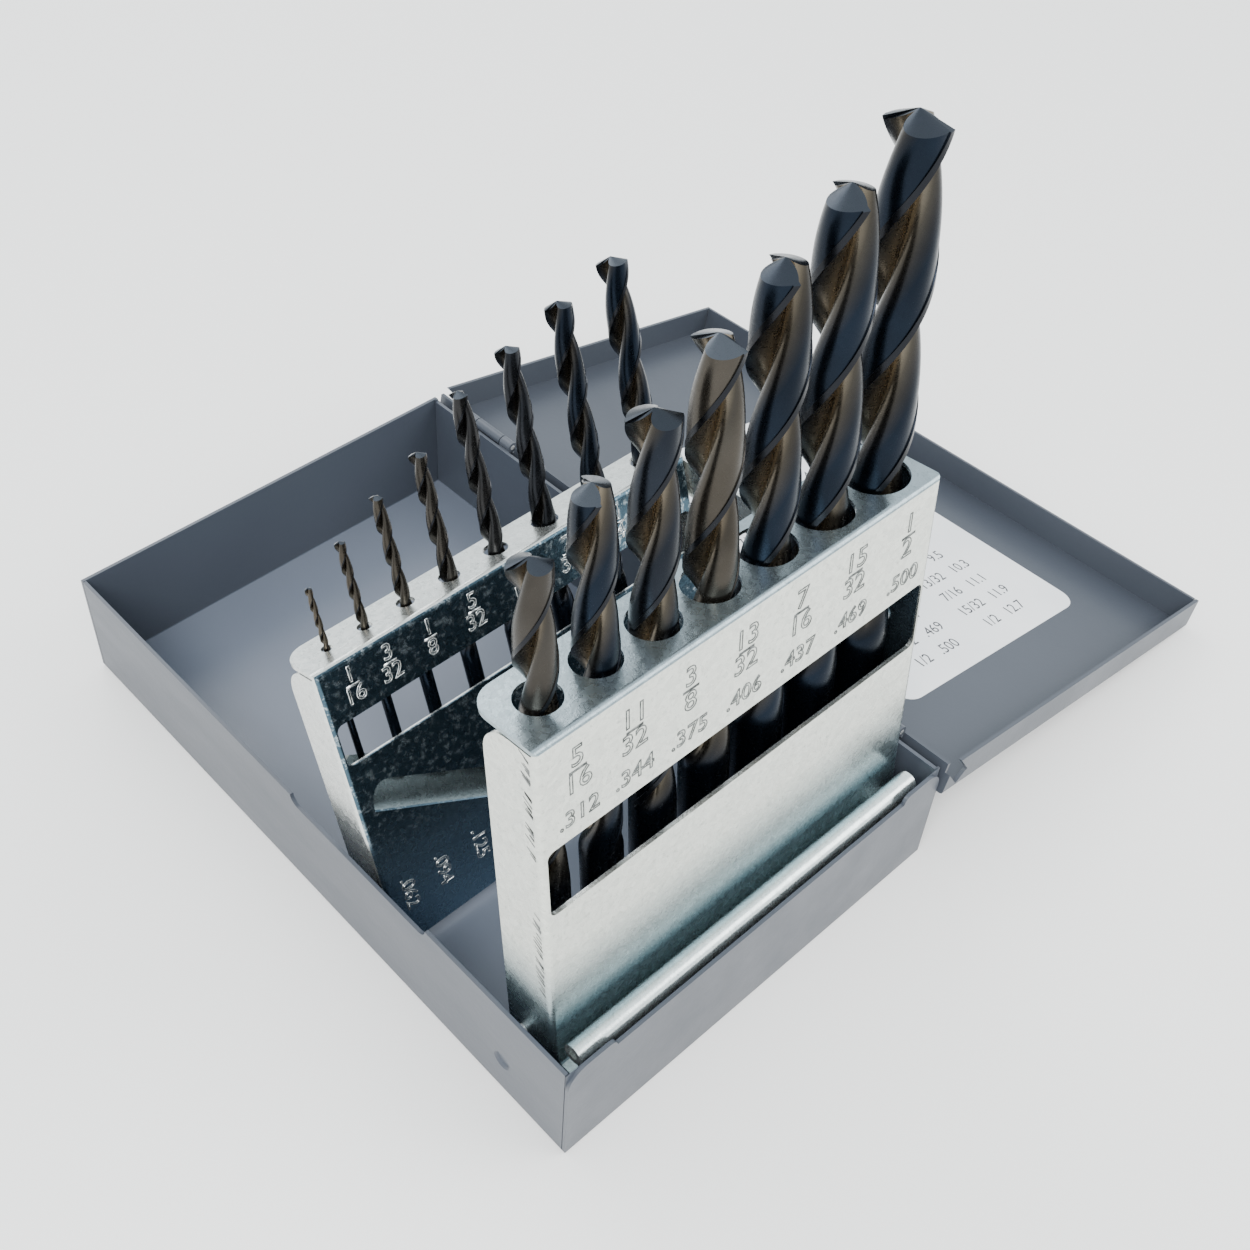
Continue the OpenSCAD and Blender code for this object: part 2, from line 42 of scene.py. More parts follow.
# sizes that the drawn pieces share with the solids, in millimetres from the tray's front left corner; the
# last three rows of a rack go drill by drill: heading of a cutting edge in degrees, least share of bronze on
# the lands, share of bare ground steel on the point
case = {"width": 114.0, "length": 180.0}
frontRack = {
    "body": "front_rack", "faceY": 6.3, "footZ": 2.0, "lean": 5.0,
    "left": 4.0, "width": 105.2, "height": 108.3, "holeBack": 9.4,
    "firstHole": 9.2, "lastHole": 8.64, "growth": 0.02, "firstSize": 8, "count": 7,
    "aims": (155, 69, 150, 107, 69, 71, 107),
    "bronze": (0.34, 0.0, 0.1, 0.40, 0.0, 0.06, 0.0),
    "ground": (0.5, 0.85, 0.35, 1.0, 0.35, 0.5, 0.4),
}
backRack = {
    "body": "back_rack", "faceY": 57.6, "footZ": 2.0, "lean": 18.0,
    "left": 4.0, "width": 105.2, "height": 75.8, "holeBack": 6.6,
    "firstHole": 7.9, "lastHole": 5.88, "growth": 0.0644, "firstSize": 0, "count": 8,
    "aims": (13, 173, 130, 150, 115, 155, 165, 145),
    "bronze": (0.50, 0.45, 0.40, 0.34, 0.22, 0.15, 0.07, 0.05),
    "ground": (0.6, 0.6, 0.6, 0.6, 0.6, 0.9, 0.5, 0.9),
}
lidPlace = {"hingeX": 115.7, "hingeZ": 31.0, "width": 117.0, "drop": 8.5, "sheet": 0.9}
lidFloor = lidPlace["sheet"] - lidPlace["drop"]


def casePoint(x, y, z):
    # from the tray's front left corner, in millimetres, to the origin in the middle of the tray, in metres
    return np.stack(np.broadcast_arrays(x - case["width"] / 2, y - case["length"] / 2, z), -1) * mm


def rackPoint(rack, x, back, up):
    # a rack's own axes are across, square back from its face and up along it; its lean turns the last two
    a = math.radians(rack["lean"])
    y = rack["faceY"] + back * math.cos(a) + up * math.sin(a)
    z = rack["footZ"] - back * math.sin(a) + up * math.cos(a)
    return casePoint(rack["left"] + x, y, z)


def lidPoint(out, along, up):
    # the lid's own axes are out from its hinge, along the tray and up from the hinge line; it tilts so far
    # that its outer edge rests on the table
    reach = math.hypot(lidPlace["width"], lidPlace["drop"])
    a = math.asin(lidPlace["hingeZ"] / reach) - math.atan2(lidPlace["drop"], lidPlace["width"])
    x = lidPlace["hingeX"] + out * math.cos(a) + up * math.sin(a)
    z = lidPlace["hingeZ"] - out * math.sin(a) + up * math.cos(a)
    return casePoint(x, along, z)


def holeX(rack, i):
    # the holes fill the width between the first and the last, each gap a little wider than the one before
    last = rack["count"] - 1
    share = (i + rack["growth"] * i * i) / (last + rack["growth"] * last * last)
    return rack["firstHole"] + (rack["width"] - rack["firstHole"] - rack["lastHole"]) * share


# meshes

def addMesh(name, verts, faces, attributes=None, smooth=True, crease=None):
    mesh = bpy.data.meshes.new(name)
    mesh.from_pydata([tuple(v) for v in np.asarray(verts).reshape(-1, 3).tolist()], [], faces)
    for key, values in (attributes or {}).items():
        layer = mesh.attributes.new(key, "FLOAT", "POINT")
        layer.data.foreach_set("value", np.asarray(values, np.float32).ravel())
    mesh.polygons.foreach_set("use_smooth", np.full(len(mesh.polygons), smooth))
    if crease:
        mesh.set_sharp_from_angle(angle=math.radians(crease))
    mesh.update()
    piece = bpy.data.objects.new(name, mesh)
    bpy.context.scene.collection.objects.link(piece)
    return piece


def ringFaces(rows, columns):
    # each cell of the grid is a square of four neighbours, and the last column is joined to the first
    r, c = np.meshgrid(np.arange(rows - 1), np.arange(columns), indexing="ij")
    n = (c + 1) % columns
    low, high = r * columns, (r + 1) * columns
    return np.stack([low + c, low + n, high + n, high + c], -1).reshape(-1, 4).tolist()


def gather(parts):
    # several pieces of mesh as one: each piece's faces count on from the vertices before it
    verts, faces, at = [], [], 0
    for v, f in parts:
        verts.append(v)
        faces += [tuple(n + at for n in face) for face in f]
        at += len(v)
    return np.concatenate(verts), faces


# shader helpers

def newMaterial(name):
    material = bpy.data.materials.new(name)
    material.use_nodes = True
    tree = material.node_tree
    return material, tree, tree.nodes["Principled BSDF"]


def addNode(tree, kind, links=(), **values):
    node = tree.nodes.new(kind)
    for key, value in values.items():
        setattr(node, key, value)
    for source, target in links:
        tree.links.new(source, node.inputs[target])
    return node


def objectPlace(tree):
    return addNode(tree, "ShaderNodeTexCoord").outputs["Object"]


def ramp(tree, source, span, colours):
    # colours that blend into one another, each at its own value of the source
    node = addNode(tree, "ShaderNodeValToRGB", [(source, "Fac")])
    stops = node.color_ramp.elements
    while len(stops) < len(span):
        stops.new(0.5)
    for stop, place, colour in zip(stops, span, colours):
        stop.position = place
        stop.color = (*colour, 1)
    return node.outputs["Color"]


def greyRamp(tree, source, span, greys):
    return ramp(tree, source, span, [(grey,) * 3 for grey in greys])


def noise(tree, scale, detail, rough=0.5, stretch=None):
    place = objectPlace(tree)
    if stretch:
        mapping = addNode(tree, "ShaderNodeMapping", [(place, "Vector")])
        mapping.inputs["Scale"].default_value = stretch
        place = mapping.outputs["Vector"]
    node = addNode(tree, "ShaderNodeTexNoise", [(place, "Vector")])
    node.inputs["Scale"].default_value = scale
    node.inputs["Detail"].default_value = detail
    node.inputs["Roughness"].default_value = rough
    return node.outputs["Fac"]


def bump(tree, shader, height, strength, distance):
    node = addNode(tree, "ShaderNodeBump", [(height, "Height")])
    node.inputs["Strength"].default_value = strength
    node.inputs["Distance"].default_value = distance
    tree.links.new(node.outputs["Normal"], shader.inputs["Normal"])


def mathNode(tree, operation, first, second):
    # a number is set on its socket, and what another node gives is linked to it
    node = addNode(tree, "ShaderNodeMath", operation=operation)
    for socket, value in zip(node.inputs, (first, second)):
        if isinstance(value, float):
            socket.default_value = value
        else:
            tree.links.new(value, socket)
    return node.outputs[0]


def mixColour(tree, factor, first, second, blend="MIX"):
    # numbers and colours are set on their sockets, and what another node gives is linked to them
    node = addNode(tree, "ShaderNodeMix", data_type="RGBA", blend_type=blend)
    sockets = (node.inputs["Factor"], node.inputs[6], node.inputs[7])
    for socket, value in zip(sockets, (factor, first, second)):
        if isinstance(value, float):
            socket.default_value = value
        elif isinstance(value, tuple):
            socket.default_value = (*value, 1)
        else:
            tree.links.new(value, socket)
    return node.outputs[2]


def multiply(tree, first, second):
    return mixColour(tree, 1.0, first, second, "MULTIPLY")


def rackAxis(tree, rack, direction):
    # signed distance of a point from the corner of a rack's face, in metres, along the rack's own direction
    origin = rackPoint(rack, 0.0, 0.0, 0.0)
    axis = (rackPoint(rack, *direction) - origin) / mm
    offset = addNode(tree, "ShaderNodeVectorMath", [(objectPlace(tree), 0)], operation="SUBTRACT")
    offset.inputs[1].default_value = tuple(float(v) for v in np.ravel(origin))
    node = addNode(tree, "ShaderNodeVectorMath", [(offset.outputs[0], 0)], operation="DOT_PRODUCT")
    node.inputs[1].default_value = tuple(float(v) for v in np.ravel(axis))
    return node.outputs["Value"]


def finishOf(material):
    # what a tint is laid over: the tree, its shader, and the colour that the shader has so far
    tree = material.node_tree
    shader = tree.nodes["Principled BSDF"]
    return tree, shader, shader.inputs["Base Color"].links[0].from_socket


# enamel; in all finishes a noise is given by its scale, detail and roughness, and a span says at which of
# its values the colours of a ramp stand

untinted = (1.0, 1.0, 1.0)
paintLook = {
    "dark": (0.055, 0.062, 0.077), "light": (0.065, 0.073, 0.089),
    "drift": (14.0, 2.0), "driftSpan": (0.3, 0.7),
    "scuff": (60.0, 6.0, 0.65), "scuffStretch": (1.0, 0.25, 1.0), "scuffSpan": (0.35, 0.75),
    "rough": (0.33, 0.46),
    "peel": (900.0, 2.0), "peelStrength": 0.12, "peelDepth": 0.0002, "metallic": 0.0,
}
# the lid has the same enamel as the tray, painted darker all over: painted shade
lidShadedLook = dict(
    paintLook, dark=(0.044, 0.051, 0.065), light=(0.053, 0.061, 0.076), scuffStretch=(0.5, 0.2, 0.5),
)


def paintMaterial(name, look):
    # sprayed enamel: slow drift of shade, fine orange peel, faint scuffs drawn along the sheet
    material, tree, shader = newMaterial(name)
    drift = noise(tree, *look["drift"])
    shade = ramp(tree, drift, look["driftSpan"], (look["dark"], look["light"]))
    tree.links.new(shade, shader.inputs["Base Color"])
    scuff = noise(tree, *look["scuff"], look["scuffStretch"])
    tree.links.new(greyRamp(tree, scuff, look["scuffSpan"], look["rough"]), shader.inputs["Roughness"])
    shader.inputs["Metallic"].default_value = look["metallic"]
    bump(tree, shader, noise(tree, *look["peel"]), look["peelStrength"], look["peelDepth"])
    return material


# painted light inside the tray: a bluer tint on its walls and a much paler one on its floor
trayLightLook = {"skin": 0.45, "floorTop": 1.3, "walls": (0.92, 0.96, 1.0), "floor": (2.1, 2.15, 2.2)}


def trayShade(material):
    # painted light on the inside of the tray: its walls are tinted a little bluer than its outside, and its
    # floor is painted the palest, about twice as light as the enamel outside
    look = trayLightLook
    tree, shader, plain = finishOf(material)
    x, y, z = addNode(tree, "ShaderNodeSeparateXYZ", [(objectPlace(tree), 0)]).outputs
    inside = mathNode(tree, "GREATER_THAN", z, look["skin"] * mm)
    for value, reach in ((x, case["width"]), (y, case["length"])):
        size = mathNode(tree, "ABSOLUTE", value, 0.0)
        within = mathNode(tree, "LESS_THAN", size, (reach / 2 - look["skin"]) * mm)
        inside = mathNode(tree, "MINIMUM", inside, within)
    low = mathNode(tree, "LESS_THAN", z, look["floorTop"] * mm)
    tint = mixColour(tree, inside, untinted, mixColour(tree, low, look["walls"], look["floor"]))
    tree.links.new(multiply(tree, plain, tint), shader.inputs["Base Color"])


# zinc, plated rivets and the painted reflection and shade on the two racks

zincLook = {
    "crystalScale": 900.0, "dark": (0.61, 0.63, 0.605), "light": (0.71, 0.73, 0.70), "rough": (0.22, 0.30),
    "specks": (1050.0, 2.0, 0.6), "speck": (0.34, 0.36, 0.36), "speckShare": 0.41,
    "grain": (900.0, 4.0, 0.6), "grainStrength": 0.14, "grainDepth": 0.0003, "metallic": 0.92,
}
strapLook = dict(zincLook, crystalScale=520.0)
rivetLook = dict(
    zincLook, dark=(0.82, 0.82, 0.80), light=(0.90, 0.90, 0.88), speckShare=0.1, rough=(0.22, 0.32),
    grainStrength=0.1, metallic=0.7,
)


def zincMaterial(name, look):
    # hot-dip zinc: small crystals, each with its own shade and gloss, under fine dark specks
    material, tree, shader = newMaterial(name)
    crystal = addNode(tree, "ShaderNodeTexVoronoi", [(objectPlace(tree), "Vector")])
    crystal.inputs["Scale"].default_value = look["crystalScale"]
    values = addNode(tree, "ShaderNodeSeparateColor", [(crystal.outputs["Color"], "Color")]).outputs
    shade = ramp(tree, values[0], (0.0, 1.0), (look["dark"], look["light"]))
    specks = ramp(tree, noise(tree, *look["specks"]), (0.0, look["speckShare"]), (look["speck"], untinted))
    tree.links.new(multiply(tree, shade, specks), shader.inputs["Base Color"])
    tree.links.new(greyRamp(tree, values[1], (0.0, 1.0), look["rough"]), shader.inputs["Roughness"])
    shader.inputs["Metallic"].default_value = look["metallic"]
    bump(tree, shader, noise(tree, *look["grain"]), look["grainStrength"], look["grainDepth"])
    return material


# painted reflection on the back rack's front sheet and painted shade on its shelf
backFaceLightLook = {
    "low": (0.19, 0.28, 0.36), "lowUp": 22.0, "high": (0.055, 0.095, 0.125), "highUp": 36.0, "depth": 0.4,
    "flecks": (620.0, 3.0, 0.7), "fleckSpan": (0.52, 0.68), "fleck": (0.42, 0.50, 0.54),
    "shelf": (0.34, 0.40, 0.43), "shelfUp": 46.0, "shelfEdge": 1.0,
}


def faceShade(material, rack):
    # painted reflection: the back rack's front sheet is darker than its bends, darkest in its upper half and
    # with paler flecks there, as the dark drills before it would mirror in it; points within its thickness of
    # the face plane take that colour; its shelf is in painted shade
    look = backFaceLightLook
    tree, shader, plain = finishOf(material)
    across, back, up = (rackAxis(tree, rack, direction) for direction in ((1, 0, 0), (0, 1, 0), (0, 0, 1)))
    share = mathNode(tree, "DIVIDE", up, rack["height"] * mm)
    span = (look["lowUp"] / rack["height"], look["highUp"] / rack["height"])
    face = ramp(tree, share, span, (look["low"], look["high"]))
    flecks = greyRamp(tree, noise(tree, *look["flecks"]), look["fleckSpan"], (0.0, 1.0))
    flecks = mathNode(tree, "MULTIPLY", flecks, greyRamp(tree, share, span, (0.0, 1.0)))
    face = mixColour(tree, flecks, face, look["fleck"])
    half = rack["width"] / 2
    aside = mathNode(tree, "ABSOLUTE", mathNode(tree, "SUBTRACT", across, half * mm), 0.0)
    between = mathNode(tree, "LESS_THAN", aside, (half - look["shelfEdge"]) * mm)
    shelf = mathNode(tree, "MINIMUM", between, mathNode(tree, "LESS_THAN", up, look["shelfUp"] * mm))
    shaded = multiply(tree, plain, mixColour(tree, shelf, untinted, look["shelf"]))
    onFace = mathNode(tree, "LESS_THAN", back, look["depth"] * mm)
    tree.links.new(mixColour(tree, onFace, shaded, face), shader.inputs["Base Color"])


# painted light on the front rack: painted reflection down to its foot and on its top plate, painted shade
# inside its right side, a painted highlight on its lip
frontRackLightLook = {
    "foot": (0.42, 0.52, 0.58), "low": (0.26, 0.36, 0.42),
    "middle": (0.50, 0.58, 0.61), "plain": (1.0, 1.0, 0.955),
    "footUp": 20.0, "lowUp": 30.0, "middleUp": 39.0, "plainUp": 52.0, "skin": 0.45, "sheet": 0.95,
    "top": (0.46, 0.54, 0.60), "lip": (1.14, 1.20, 1.22), "lipBack": -0.5, "innerShade": (0.16, 0.22, 0.28),
}


def footShade(material, rack):
    # painted light on the front rack: its outer skin turns bluer and darker down to its foot, a painted
    # reflection of the tray, the inner skin of its right side is dark with painted shade, its top plate is
    # bluer all over, a painted reflection, and the rolled lip, all that stands before the face plane, is the
    # palest, a painted highlight
    look = frontRackLightLook
    tree, shader, plain = finishOf(material)
    across, back, up = (rackAxis(tree, rack, direction) for direction in ((1, 0, 0), (0, 1, 0), (0, 0, 1)))
    share = mathNode(tree, "DIVIDE", up, rack["height"] * mm)
    zones = ("foot", "low", "middle", "plain")
    span = [look[zone + "Up"] / rack["height"] for zone in zones]
    fall = ramp(tree, share, span, [look[zone] for zone in zones])
    innerShade = mathNode(tree, "COMPARE", across, (rack["width"] - look["sheet"]) * mm)
    innerShade.node.inputs[2].default_value = look["skin"] * mm
    tint = mixColour(tree, innerShade, untinted, look["innerShade"])
    skin = mathNode(tree, "LESS_THAN", mathNode(tree, "MINIMUM", across, back), look["skin"] * mm)
    tint = mixColour(tree, skin, tint, fall)
    plate = mathNode(tree, "GREATER_THAN", up, (rack["height"] - look["sheet"]) * mm)
    tint = mixColour(tree, plate, tint, look["top"])
    lip = mathNode(tree, "LESS_THAN", back, look["lipBack"] * mm)
    tint = mixColour(tree, lip, tint, look["lip"])
    tree.links.new(multiply(tree, plain, tint), shader.inputs["Base Color"])


# oxide of the drills

oxideLook = {
    "land": (0.008, 0.013, 0.022), "flute": (0.062, 0.054, 0.043), "deep": (0.29, 0.24, 0.17),
    "hollowSpan": (0.06, 0.45, 1.0), "edge": (0.014, 0.015, 0.018), "point": (0.072, 0.082, 0.096),
    "cloud": (60.0, 3.0), "cloudSpan": (0.3, 0.7), "cloudDark": (0.62, 0.60, 0.58),
    "gloss": (1200.0, 3.0, 0.6), "glossSpan": (0.3, 0.7), "rough": (0.24, 0.34),
    "grind": (1200.0, 3.0), "grindStrength": 0.008, "grindDepth": 0.0001, "metallic": 0.92,
}


def oxideMaterial(name, look):
    # black oxide on the lands, bronze oxide in the flutes, dark narrow margins and greyer ground points
    material, tree, shader = newMaterial(name)
    hollow, margin, tip = (
        addNode(tree, "ShaderNodeAttribute", attribute_name=key).outputs["Fac"]
        for key in ("hollow", "margin", "tip")
    )
    oxides = ramp(tree, hollow, look["hollowSpan"], (look["land"], look["flute"], look["deep"]))
    cloud = ramp(tree, noise(tree, *look["cloud"]), look["cloudSpan"], (look["cloudDark"], untinted))
    colour = multiply(tree, oxides, cloud)
    colour = mixColour(tree, margin, colour, look["edge"])
    colour = mixColour(tree, tip, colour, look["point"])
    tree.links.new(colour, shader.inputs["Base Color"])
    gloss = greyRamp(tree, noise(tree, *look["gloss"]), look["glossSpan"], look["rough"])
    tree.links.new(gloss, shader.inputs["Roughness"])
    shader.inputs["Metallic"].default_value = look["metallic"]
    bump(tree, shader, noise(tree, *look["grind"]), look["grindStrength"], look["grindDepth"])
    return material


# stamped figures, paper and ink

mottleSpan = (0.35, 0.65)
stampLook = {
    "dark": (0.62, 0.64, 0.62), "light": (0.80, 0.82, 0.80), "mottle": (400.0, 3.0),
    "rough": 0.22, "metallic": 0.95,
}
# the front rack's figures are painted dark for the shade in their stamped grooves; the bend's tool marks use
# the same colour
grooveShadeLook = {
    "dark": (0.055, 0.06, 0.06), "light": (0.20, 0.21, 0.205), "mottle": (900.0, 3.0),
    "rough": 0.3, "metallic": 0.9,
}
paperLook = {
    "dark": (0.80, 0.81, 0.82), "light": (0.87, 0.87, 0.87), "mottle": (40.0, 3.0),
    "rough": 0.5, "metallic": 0.0,
}
inkLook = {
    "dark": (0.03, 0.03, 0.035), "light": (0.06, 0.06, 0.065), "mottle": (300.0, 3.0),
    "rough": 0.6, "metallic": 0.0,
}


def mottledMaterial(name, look):
    # one colour that drifts a little between dark and light, with an even gloss
    material, tree, shader = newMaterial(name)
    shade = ramp(tree, noise(tree, *look["mottle"]), mottleSpan, (look["dark"], look["light"]))
    tree.links.new(shade, shader.inputs["Base Color"])
    shader.inputs["Roughness"].default_value = look["rough"]
    shader.inputs["Metallic"].default_value = look["metallic"]
    return material


paint = paintMaterial("greyEnamel", paintLook)
lidShadedPaint = paintMaterial("lidEnamelShaded", lidShadedLook)
zinc = zincMaterial("zincSpangleFrontRackLight", zincLook)
strapZinc = zincMaterial("strapZinc", strapLook)
bright = zincMaterial("brightRivet", rivetLook)
oxide = oxideMaterial("drillOxide", oxideLook)
stamped = mottledMaterial("stampedEdge", stampLook)
grooveShadeAndMarks = mottledMaterial("stampedGrooveShade", grooveShadeLook)
paper = mottledMaterial("labelWhite", paperLook)
ink = mottledMaterial("labelInk", inkLook)
backZincReflected = zincMaterial("zincBackRackReflection", zincLook)

# painted light: over the tray's inside, the back rack's face and the front rack
trayShade(paint)
faceShade(backZincReflected, backRack)
footShade(zinc, frontRack)
finishes = {
    "case_base": paint, "lid": lidShadedPaint, "hinge_pins": bright, "front_rack": zinc, "back_rack": backZincReflected,
    "front_studs": bright, "back_studs": bright, "strap": strapZinc,
    "strap_front_rivet": bright, "strap_back_rivet": bright,
}
for name, node in nodes.items():
    node.data.materials.clear()
    node.data.materials.append(finishes.get(name, oxide))
print("materials ready")

# drills: sizes are counted in sixty-fourths of an inch; lengths are in inches, and their slopes, in inches to
# an inch of diameter, change at the knee size; lead, runout, chamfer and fall are in diameters; web, relief
# and body are shares of the radius; the pale sizes are in millimetres

drillSet = {
    "inch": 25.4, "parts": 64, "firstPart": 4, "stepParts": 2, "roundDown": 1e-6,
    "knee": 3 / 16, "kneeLength": 3.5, "kneeFlute": 2.3125, "longSlope": 8, "shortSlope": 13,
    "longFlute": 7, "shortFlute": 11.5, "lead": 4.8, "pointAngle": 135.0, "runout": 1.1, "chamfer": 0.05,
    "web": 0.15, "margin": 13.0, "relief": 0.955, "body": 0.985, "deepest": 0.78, "fallOff": 3.1,
    "rake": 0.8, "fall": 0.075, "paleFrom": 3.0, "paleOver": 6.0, "paleLeast": 0.15,
    "fluteRows": 170, "pointRows": 10, "edgeStep": 0.004, "marginColumns": 4, "landColumns": 30,
    "faceColumns": 15, "faceCrowding": 0.7, "crease": 32,
}
backShelf = {"left": 40.5, "knee": 19.4, "right": 7.2, "kneeX": 40.0, "tilt": 39.0}
frontShelf = {"left": 23.6, "rise": 5.8}
shelfGap = 0.05


def inchShare(i):
    # the sizes climb in equal steps of some sixty-fourths of an inch
    return drillSet["firstPart"] + drillSet["stepParts"] * i, drillSet["parts"]


def drillSize(i):
    top, bottom = inchShare(i)
    return top / bottom * drillSet["inch"]


def fractionWords(i):
    # the size as a fraction halved down until its top is odd, and as a decimal whose halves are rounded down
    top, bottom = inchShare(i)
    decimal = ("%.3f" % (top / bottom - drillSet["roundDown"])).lstrip("0")
    while top % 2 == 0:
        top, bottom = top // 2, bottom // 2
    return str(top), str(bottom), decimal


def drillLengths(d):
    # overall and flute length grow in straight lines with the diameter, more steeply under the knee size
    past = d / drillSet["inch"] - drillSet["knee"]
    over = drillSet["kneeLength"] + past * (drillSet["shortSlope"] if past < 0 else drillSet["longSlope"])
    flute = drillSet["kneeFlute"] + past * (drillSet["shortFlute"] if past < 0 else drillSet["longFlute"])
    return over * drillSet["inch"], flute * drillSet["inch"]


def foldHeight(x):
    # the back shelf's fold falls in one straight line to its knee and in another, flatter one from there on
    s = backShelf
    if x < s["kneeX"]:
        return s["left"] + (s["knee"] - s["left"]) * x / s["kneeX"]
    return s["knee"] + (s["right"] - s["knee"]) * (x - s["kneeX"]) / (backRack["width"] - s["kneeX"])


def drillFoot(rack, i):
    # the height along the rack at which the shank end of drill i stands on its shelf
    r = drillSize(i + rack["firstSize"]) / 2
    x = holeX(rack, i)
    if rack is frontRack:
        return frontShelf["left"] + frontShelf["rise"] * (x + r) / rack["width"] + shelfGap
    slope = abs(foldHeight(x - r) - foldHeight(x + r)) / 2
    climb = (rack["holeBack"] + r) * math.tan(math.radians(backShelf["tilt"]))
    return foldHeight(x) + slope + climb + shelfGap


def sectionShares(back):
    # back is the angle behind a cutting edge, and repeats every half turn: a narrow margin at full radius,
    # then a land that falls away ever faster down to the web, and a steep rise, a power of a cosine, to the
    # next edge
    a = np.mod(back, math.pi)
    margin = math.radians(drillSet["margin"])
    u = np.clip((a - margin) / (math.pi - margin), 0, 1)
    k = drillSet["deepest"]
    rise = np.cos(math.pi / 2 * np.clip((u - k) / (1 - k), 0, 1)) ** drillSet["rake"]
    drop = np.where(u < k, np.clip(u / k, 0, 1) ** drillSet["fallOff"], rise)
    share = np.where(a < margin, 1.0, drillSet["relief"] - (drillSet["relief"] - drillSet["web"]) * drop)
    share = np.where(u > k, 1 - (1 - drillSet["web"]) * rise, share)
    return share, drop, (a < margin).astype(float), np.clip(u / k, 0, 1)


def sectionAngles():
    # columns crowd at both sides of the margin and towards the next edge, so that those edges stay crisp
    margin, step = math.radians(drillSet["margin"]), drillSet["edgeStep"]
    deepest = margin + drillSet["deepest"] * (math.pi - margin)
    climb = np.linspace(0, 1, drillSet["faceColumns"])[1:] ** drillSet["faceCrowding"]
    half = np.concatenate([
        np.linspace(0, margin - step, drillSet["marginColumns"]),
        np.linspace(margin + step, deepest, drillSet["landColumns"]),
        deepest + (math.pi - step - deepest) * climb,
    ])
    return np.concatenate([half, half + math.pi])


def drillSurface(rack, i):
    # every row is a ring round the axis, and its columns turn with the flutes, one turn per lead; the flutes
    # fade out into the shank; on the point each column runs in to the axis along a cone that falls away
    # behind the cutting edge
    d = drillSize(i + rack["firstSize"])
    length, flutes = drillLengths(d)
    radius = d / 2
    slope = 1 / math.tan(math.radians(drillSet["pointAngle"] / 2))
    start = length - flutes
    back = sectionAngles()
    share, hollow, margin, behind = sectionShares(back)
    fall = drillSet["fall"] * d * behind
    top = length - share * drillSet["body"] * radius * slope - fall * share

    def turnAt(z):
        # the angle that the flutes have turned by at height z
        return 2 * math.pi * (np.maximum(z, start) - start) / (drillSet["lead"] * d)

    # a drill is turned so that a cutting edge of its point has its rack's heading; small drills are blacker
    spin = math.radians(rack["aims"][i]) - turnAt(top[0])
    hollow = hollow * np.clip((d - drillSet["paleFrom"]) / drillSet["paleOver"], drillSet["paleLeast"], 1)
    hollow = np.maximum(hollow, rack["bronze"][i])
    rows, hollows, margins, tips = [], [], [], []

    def addRow(r, z, turn, hollowRow, marginRow, tipRow):
        phi = spin + turn - back
        rows.append(np.stack([r * np.cos(phi), r * np.sin(phi), z + 0 * back], -1))
        for rowList, row in ((hollows, hollowRow), (margins, marginRow), (tips, tipRow)):
            rowList.append(row + 0 * back)

    chamfer = drillSet["chamfer"] * d
    shank = ((0.0, 0.0), (0.0, radius - chamfer), (chamfer, radius), (start / 2, radius), (start, radius))
    for z, r in shank:
        addRow(r, z, turnAt(z), 0, 0, 0)
    for s in np.linspace(0, 1, drillSet["fluteRows"])[1:]:
        z = start + s * (top - start)
        fade = np.clip((z - start) / (drillSet["runout"] * d), 0, 1)
        fade = fade * fade * (3 - 2 * fade)
        r = (1 + (share - 1) * fade) * (1 + (drillSet["body"] - 1) * fade) * radius
        addRow(r, z, turnAt(z), hollow * fade, margin * fade, 0)
    for s in np.linspace(1, 0, drillSet["pointRows"]):
        r = share * drillSet["body"] * radius * s
        addRow(r, length - r * slope - fall * share * s, turnAt(top), 0, 0, rack["ground"][i])
    x, y, z = np.moveaxis(np.array(rows), -1, 0)
    place = rackPoint(rack, holeX(rack, i) + x, rack["holeBack"] + y, drillFoot(rack, i) + z)
    return place, {"hollow": np.array(hollows), "margin": np.array(margins), "tip": np.array(tips)}


for rack in (backRack, frontRack):
    for i in range(rack["count"]):
        size = "_".join(fractionWords(i + rack["firstSize"])[:2])
        place, attributes = drillSurface(rack, i)
        faces = ringFaces(place.shape[0], place.shape[1])
        drill = addMesh("twistDrill_" + size, place, faces, attributes, crease=drillSet["crease"])
        drill.data.materials.append(oxide)
        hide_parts("drill_" + size)
        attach(drill, "drill_" + size)
print("drills turned")

# stamped sizes: grooves made dark with painted shade on the front rack, bright edges on the back rack, whose
# decimals run down it

stampSet = {
    "tube": 0.16, "tubeSteps": 1, "curveSteps": 3, "lift": 0.05,
    "barWide": 0.62, "barThick": 0.6, "spread": 0.46,
}
frontStamps = {
    "size": 6.6, "up": 98.2, "decimalSize": 5.6, "decimalUp": 87.2, "decimals": 7, "turned": False,
}
backStamps = {
    "size": 5.4, "up": 69.2, "decimalSize": 5.0, "decimalUp": 14.0, "decimals": 4,
    "turned": True, "aside": 1.9,
}


